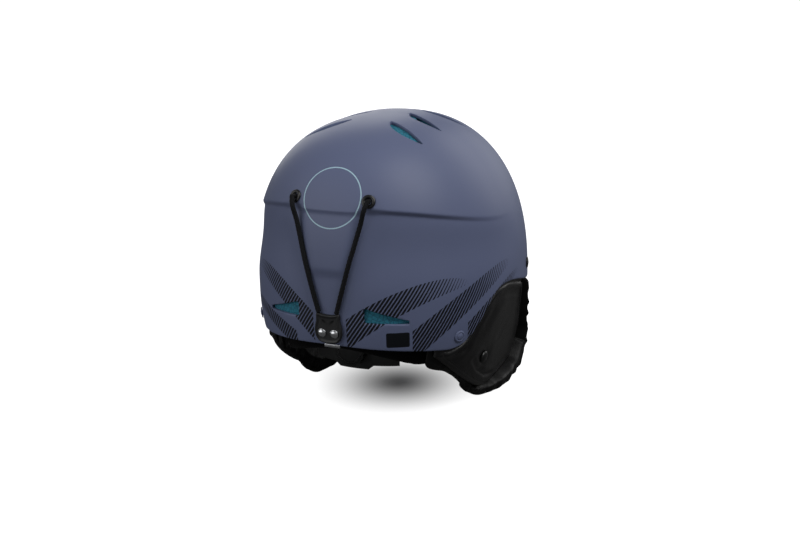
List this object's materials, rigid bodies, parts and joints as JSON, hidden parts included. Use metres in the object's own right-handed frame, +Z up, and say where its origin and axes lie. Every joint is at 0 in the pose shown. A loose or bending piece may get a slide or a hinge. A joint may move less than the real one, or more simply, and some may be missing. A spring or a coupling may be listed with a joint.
{
  "type": "sport helmet",
  "caption": "Hard-shell flight and snow helmet with crown vents, soft ear pads, chin strap, rear fit dial and an elastic goggle-strap retainer.",
  "frame": {"origin": "on the surface that the helmet stands on, below the middle of its width and of its length", "axes": "+Z up, the face opening looks along -Y, the wearer's left is +X"},
  "size_m": [0.2236, 0.2688, 0.2479],
  "materials": {
    "shell_paint": "soft matt slate-blue coat on moulded ABS",
    "foam": "teal expanded foam",
    "leatherette": "black grained leatherette",
    "fleece": "black fleece",
    "pad_mesh": "black spacer mesh",
    "black_plastic": "black moulded nylon",
    "elastic": "black braided elastic",
    "webbing": "black woven webbing",
    "chrome": "bright nickel plate",
    "grey_metal": "satin grey metal"
  },
  "bodies": {
    "helmet": {"shell": "shell_paint", "liner": "foam", "brow_pad": "pad_mesh", "crown_pad": "pad_mesh", "side_pad_left": "pad_mesh", "side_pad_right": "pad_mesh", "rear_pad_left": "pad_mesh", "rear_pad_right": "pad_mesh", "neck_roll": "leatherette", "ear_panel_left": "leatherette", "ear_panel_right": "leatherette", "ear_lining_left": "fleece", "ear_lining_right": "fleece", "ear_snap_left": "black_plastic", "ear_snap_right": "black_plastic", "grommet_left": "black_plastic", "grommet_right": "black_plastic", "cord_knot_left": "elastic", "cord_knot_right": "elastic", "snap_stud_left": "chrome", "snap_stud_right": "chrome", "rim_clip": "grey_metal", "front_rivet_left": "black_plastic", "front_rivet_right": "black_plastic", "rear_rivet_left": "shell_paint", "rear_rivet_right": "shell_paint", "front_leg_left": "webbing", "front_leg_right": "webbing", "rear_leg_left": "webbing", "rear_leg_right": "webbing", "strap_divider_left": "black_plastic", "strap_divider_right": "black_plastic", "chin_strap": "webbing", "chin_pad": "leatherette", "strap_slider": "black_plastic", "buckle_socket": "black_plastic", "buckle_strap": "webbing", "fit_housing": "black_plastic", "fit_back_plate": "black_plastic", "plate_screw_left": "grey_metal", "plate_screw_right": "grey_metal", "band_guide_left": "black_plastic", "band_guide_right": "black_plastic", "cradle_stem": "black_plastic", "nape_pad": "pad_mesh"},
    "retainer": {"cord_left": "elastic", "cord_right": "elastic", "retainer_tab": "black_plastic", "snap_cap_left": "chrome", "snap_cap_right": "chrome"},
    "dial": {"fit_dial": "black_plastic"},
    "band_left": {"fit_band_left": "black_plastic"},
    "band_right": {"fit_band_right": "black_plastic"},
    "tongue": {"buckle_tongue": "black_plastic"}
  },
  "joints": [
    {"name": "retainer_swing", "type": "hinge", "parent": "helmet", "child": "retainer", "pos_m": [0, 0.11987, 0.19816], "axis": [1, 0, 0], "range_deg": [0, 75]},
    {"name": "dial_turn", "type": "hinge", "parent": "helmet", "child": "dial", "pos_m": [0, 0.09, 0.0629], "axis": [0, 1, 0], "range_deg": [-120, 120]},
    {"name": "band_left_slide", "type": "hinge", "parent": "helmet", "child": "band_left", "pos_m": [0, 0.00503, 0.0629], "axis": [0, 0, 1], "range_deg": [-9.2, 9.2]},
    {"name": "band_right_slide", "type": "hinge", "parent": "helmet", "child": "band_right", "pos_m": [0, 0.00503, 0.0629], "axis": [0, 0, 1], "range_deg": [-9.2, 9.2]},
    {"name": "tongue_release", "type": "slide", "parent": "helmet", "child": "tongue", "axis": [0, 1, 0], "range_m": [0, 0.018], "deforming": ["buckle_strap"]}
  ],
  "couplings": [
    {"joint": "band_left_slide", "follows": "dial_turn", "ratio": -0.075949},
    {"joint": "band_right_slide", "follows": "dial_turn", "ratio": 0.075949}
  ]
}
